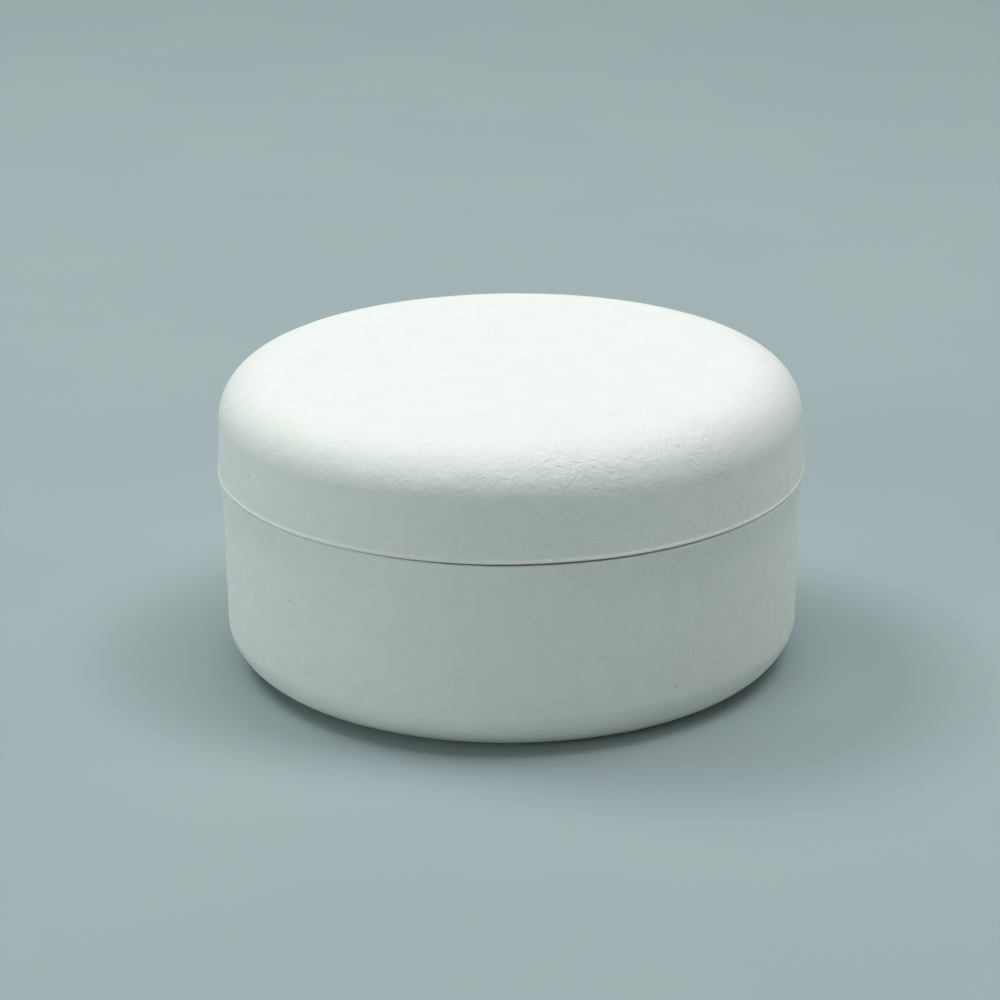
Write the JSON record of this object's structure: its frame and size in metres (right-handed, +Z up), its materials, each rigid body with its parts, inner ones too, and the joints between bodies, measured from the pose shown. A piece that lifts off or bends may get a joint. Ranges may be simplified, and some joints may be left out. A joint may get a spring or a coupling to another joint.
{
  "type": "boxed shaving soap puck",
  "caption": "Round white moulded-fibre box with a flat-topped lift-off lid, a neck ring inside, and a cast shaving soap puck between two paper discs.",
  "frame": {"origin": "centre of the face that the box stands on", "axes": "+Z up along the axis of the round box, through the middle of the lid; the box looks the same from all round, so +X and +Y are free"},
  "size_m": [0.0858, 0.0858, 0.044],
  "materials": {
    "white_fibre": "matte",
    "brown_fibre": "matte",
    "soap": "satin",
    "waxed_paper": "satin",
    "glassine": "satin"
  },
  "bodies": {
    "base": {"base_cup": "white_fibre", "neck_ring": "brown_fibre", "waxed_paper_underlay": "waxed_paper"},
    "lid": {"lid": "white_fibre"},
    "soap": {"soap_puck": "soap"},
    "leaf": {"glassine_leaf": "glassine"}
  },
  "joints": [
    {"name": "lid_lift", "type": "slide", "parent": "base", "child": "lid", "axis": [0, 0, 1], "range_m": [0, 0.05]},
    {"name": "puck_lift", "type": "slide", "parent": "base", "child": "soap", "axis": [0, 0, 1], "range_m": [0, 0.0044]},
    {"name": "leaf_lift", "type": "slide", "parent": "soap", "child": "leaf", "axis": [0, 0, 1], "range_m": [0, 0.0042]}
  ]
}
